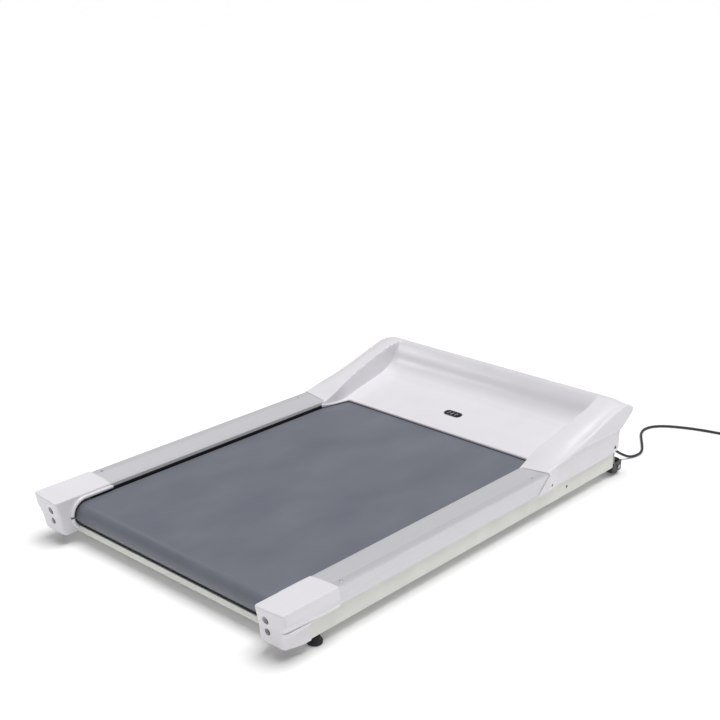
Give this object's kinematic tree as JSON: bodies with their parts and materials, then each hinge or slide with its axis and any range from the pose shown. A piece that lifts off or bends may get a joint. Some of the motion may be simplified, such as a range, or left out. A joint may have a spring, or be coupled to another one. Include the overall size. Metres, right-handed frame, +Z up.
{
  "type": "treadmill",
  "caption": "Flat walking treadmill with a wide grey belt between aluminium side rails, white rear corner caps and a low white front motor hood with a shallow dish; mains lead coiled.",
  "frame": {"origin": "centre of the treadmill's footprint on the floor, measured without the mains lead", "axes": "+X to the right of someone who walks towards the hood, +Y forwards to the motor hood, +Z up"},
  "size_m": [1.1391, 2.085, 0.239],
  "materials": {
    "painted_steel": "satin powder coat, off-white",
    "zinc_sheet": "zinc plated sheet",
    "deck_laminate": "black laminated board",
    "black_rubber": "matte",
    "zinc_steel": "zinc plated",
    "brushed_aluminium": "brushed and anodised, ribbed along its length",
    "belt_fabric": "grey PVC top with a fine diagonal weave",
    "roller_steel": "turned",
    "bearing_steel": "ground",
    "brass": "yellow zinc passivated",
    "cast_aluminium": "die cast",
    "cast_iron": "machined",
    "motor_steel": "black enamel",
    "circuit_board": "solder mask",
    "wire_pvc": "satin",
    "black_plastic": "satin",
    "red_plastic": "gloss",
    "white_plastic": "gloss moulded",
    "cord_pvc": "satin",
    "tie_plastic": "satin",
    "badge_plastic": "gloss"
  },
  "bodies": {
    "frame": {"frame_side_left": "painted_steel", "frame_side_right": "painted_steel", "frame_rear_angle": "painted_steel", "cross_tube_rear": "painted_steel", "cross_tube_mid": "painted_steel", "cross_tube_front": "painted_steel", "motor_tray": "zinc_sheet", "deck_board": "deck_laminate", "deck_cushions": "black_rubber", "deck_screws": "zinc_steel", "rail_left": "brushed_aluminium", "rail_right": "brushed_aluminium", "edge_strips": "black_rubber", "rail_screws": "zinc_steel", "walking_belt": "belt_fabric", "rear_axle": "zinc_steel", "take_up_blocks": "brass", "adjuster_bolts": "zinc_steel", "front_axle": "zinc_steel", "front_axle_blocks": "zinc_sheet", "drive_belt": "black_rubber", "motor_can": "motor_steel", "motor_magnets": "motor_steel", "motor_bells": "cast_aluminium", "motor_bearings": "bearing_steel", "motor_saddle": "zinc_sheet", "motor_bolts": "zinc_steel", "controller_board": "circuit_board", "heat_sink": "cast_aluminium", "choke": "motor_steel", "wire_harness": "wire_pvc", "switch_body": "black_plastic", "breaker_body": "black_plastic", "cord_gland": "black_rubber", "power_cord": "cord_pvc", "cord_coil": "cord_pvc", "cord_tail": "cord_pvc", "cord_plug": "cord_pvc", "cord_tie": "tie_plastic", "hood": "white_plastic", "hood_badge": "badge_plastic", "case_screws": "zinc_steel", "rear_cap_left": "white_plastic", "rear_cap_right": "white_plastic", "wheel_brackets": "zinc_sheet", "wheel_axles": "zinc_steel"},
    "rear_roller": {"rear_drum": "roller_steel", "rear_bearings": "bearing_steel"},
    "front_roller": {"front_drum": "roller_steel", "front_bearings": "bearing_steel", "driven_pulley": "cast_iron"},
    "motor_shaft": {"motor_rotor": "motor_steel", "flywheel": "cast_iron", "motor_pulley": "cast_iron"},
    "left_wheel": {"wheel_left": "black_rubber"},
    "right_wheel": {"wheel_right": "black_rubber"},
    "left_foot": {"foot_left": "black_rubber"},
    "right_foot": {"foot_right": "black_rubber"},
    "rocker": {"switch_rocker": "red_plastic"},
    "reset_button": {"breaker_button": "white_plastic"}
  },
  "joints": [
    {"name": "front_roller_spin", "type": "hinge", "parent": "frame", "child": "front_roller", "pos_m": [0, 0.42, 0.0772], "axis": [1, 0, 0], "continuous": true},
    {"name": "rear_roller_spin", "type": "hinge", "parent": "frame", "child": "rear_roller", "pos_m": [0, -0.641, 0.0772], "axis": [1, 0, 0], "continuous": true},
    {"name": "motor_spin", "type": "hinge", "parent": "frame", "child": "motor_shaft", "pos_m": [0, 0.575, 0.092], "axis": [1, 0, 0], "continuous": true},
    {"name": "left_wheel_spin", "type": "hinge", "parent": "frame", "child": "left_wheel", "pos_m": [-0.444, 0.69, 0.025], "axis": [1, 0, 0], "continuous": true},
    {"name": "right_wheel_spin", "type": "hinge", "parent": "frame", "child": "right_wheel", "pos_m": [0.444, 0.69, 0.025], "axis": [1, 0, 0], "continuous": true},
    {"name": "left_foot_screw", "type": "slide", "parent": "frame", "child": "left_foot", "axis": [0, 0, -1], "range_m": [0, 0.012]},
    {"name": "right_foot_screw", "type": "slide", "parent": "frame", "child": "right_foot", "axis": [0, 0, -1], "range_m": [0, 0.012]},
    {"name": "rocker_tilt", "type": "hinge", "parent": "frame", "child": "rocker", "pos_m": [0.3, 0.662, 0.056], "axis": [1, 0, 0], "range_deg": [0, 16]},
    {"name": "reset_press", "type": "slide", "parent": "frame", "child": "reset_button", "axis": [0, -1, 0], "range_m": [0, 0.003], "stiffness_N_per_m": 1500}
  ],
  "couplings": [
    {"joint": "rear_roller_spin", "follows": "front_roller_spin", "ratio": 1},
    {"joint": "motor_spin", "follows": "front_roller_spin", "ratio": 3}
  ]
}
